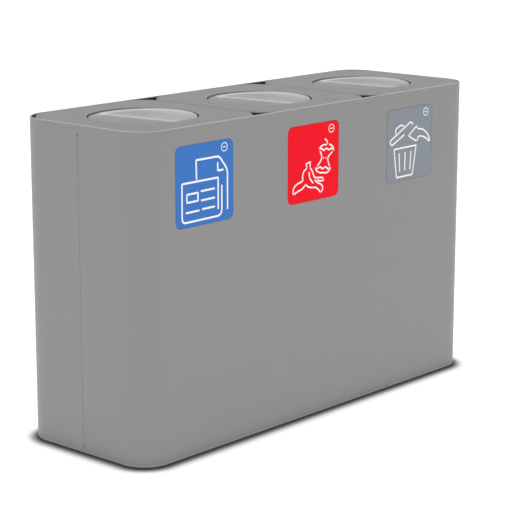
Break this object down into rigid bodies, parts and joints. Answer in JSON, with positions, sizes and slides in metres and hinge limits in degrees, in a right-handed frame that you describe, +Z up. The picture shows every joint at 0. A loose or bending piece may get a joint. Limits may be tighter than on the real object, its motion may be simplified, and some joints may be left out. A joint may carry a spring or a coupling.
{
  "type": "recycling bin station",
  "caption": "Free-standing sheet-steel recycling station with lift-up lids, round self-levelling flaps over the openings, colour labels and lift-out liners.",
  "frame": {"origin": "on the floor, under the centre of the body", "axes": "+X along the length, to the right seen from the front; -Y out of the labelled front; +Z up"},
  "size_m": [1.2, 0.3997, 0.76],
  "materials": {
    "powder_grey": "satin",
    "powder_dark": "satin",
    "flap_steel": "satin",
    "zinc_steel": "satin",
    "liner_plastic": "matte",
    "nylon": "matte",
    "rubber": "matte",
    "label_blue": "gloss",
    "label_red": "gloss",
    "label_grey": "gloss",
    "label_white": "gloss"
  },
  "bodies": {
    "station": {"shell_front": "powder_grey", "shell_rear": "powder_grey", "seam_strip_left": "zinc_steel", "seam_strip_right": "zinc_steel", "seam_nuts": "zinc_steel", "base_pan": "powder_grey", "foot_pads": "rubber", "foot_bolts": "zinc_steel", "divider_left": "powder_grey", "divider_right": "powder_grey", "divider_screws": "zinc_steel", "front_rail": "powder_dark", "rear_rail": "powder_dark", "cross_rail_left": "powder_dark", "cross_rail_right": "powder_dark", "lid_bumpers": "rubber", "label_paper": "label_blue", "label_food": "label_red", "label_residual": "label_grey", "liner_left": "liner_plastic", "liner_centre": "liner_plastic", "liner_right": "liner_plastic", "bag_frame_left": "zinc_steel", "bag_frame_centre": "zinc_steel", "bag_frame_right": "zinc_steel", "hinge_base_left": "zinc_steel", "hinge_base_centre": "zinc_steel", "hinge_base_right": "zinc_steel", "hinge_pins_left": "zinc_steel", "hinge_pins_centre": "zinc_steel", "hinge_pins_right": "zinc_steel", "hinge_screws": "zinc_steel"},
    "lid_left": {"lid_left": "powder_grey", "hinge_leaf_left": "zinc_steel", "flap_bearings_left": "nylon"},
    "flap_left": {"flap_left": "flap_steel", "flap_axle_left": "zinc_steel", "flap_weights_left": "zinc_steel"},
    "lid_centre": {"lid_centre": "powder_grey", "hinge_leaf_centre": "zinc_steel", "flap_bearings_centre": "nylon"},
    "flap_centre": {"flap_centre": "flap_steel", "flap_axle_centre": "zinc_steel", "flap_weights_centre": "zinc_steel"},
    "lid_right": {"lid_right": "powder_grey", "hinge_leaf_right": "zinc_steel", "flap_bearings_right": "nylon"},
    "flap_right": {"flap_right": "flap_steel", "flap_axle_right": "zinc_steel", "flap_weights_right": "zinc_steel"}
  },
  "joints": [
    {"name": "lid_left_hinge", "type": "hinge", "parent": "station", "child": "lid_left", "pos_m": [-0.3972, 0.1765, 0.7546], "axis": [-1, 0, 0], "range_deg": [0, 95]},
    {"name": "lid_centre_hinge", "type": "hinge", "parent": "station", "child": "lid_centre", "pos_m": [0, 0.1765, 0.7546], "axis": [-1, 0, 0], "range_deg": [0, 95]},
    {"name": "lid_right_hinge", "type": "hinge", "parent": "station", "child": "lid_right", "pos_m": [0.3972, 0.1765, 0.7546], "axis": [-1, 0, 0], "range_deg": [0, 95]},
    {"name": "flap_left_pivot", "type": "hinge", "parent": "lid_left", "child": "flap_left", "pos_m": [-0.3972, 0, 0.7474], "axis": [0, 1, 0], "range_deg": [-70, 70]},
    {"name": "flap_centre_pivot", "type": "hinge", "parent": "lid_centre", "child": "flap_centre", "pos_m": [0, 0, 0.7474], "axis": [0, 1, 0], "range_deg": [-70, 70]},
    {"name": "flap_right_pivot", "type": "hinge", "parent": "lid_right", "child": "flap_right", "pos_m": [0.3972, 0, 0.7474], "axis": [0, 1, 0], "range_deg": [-70, 70]}
  ]
}
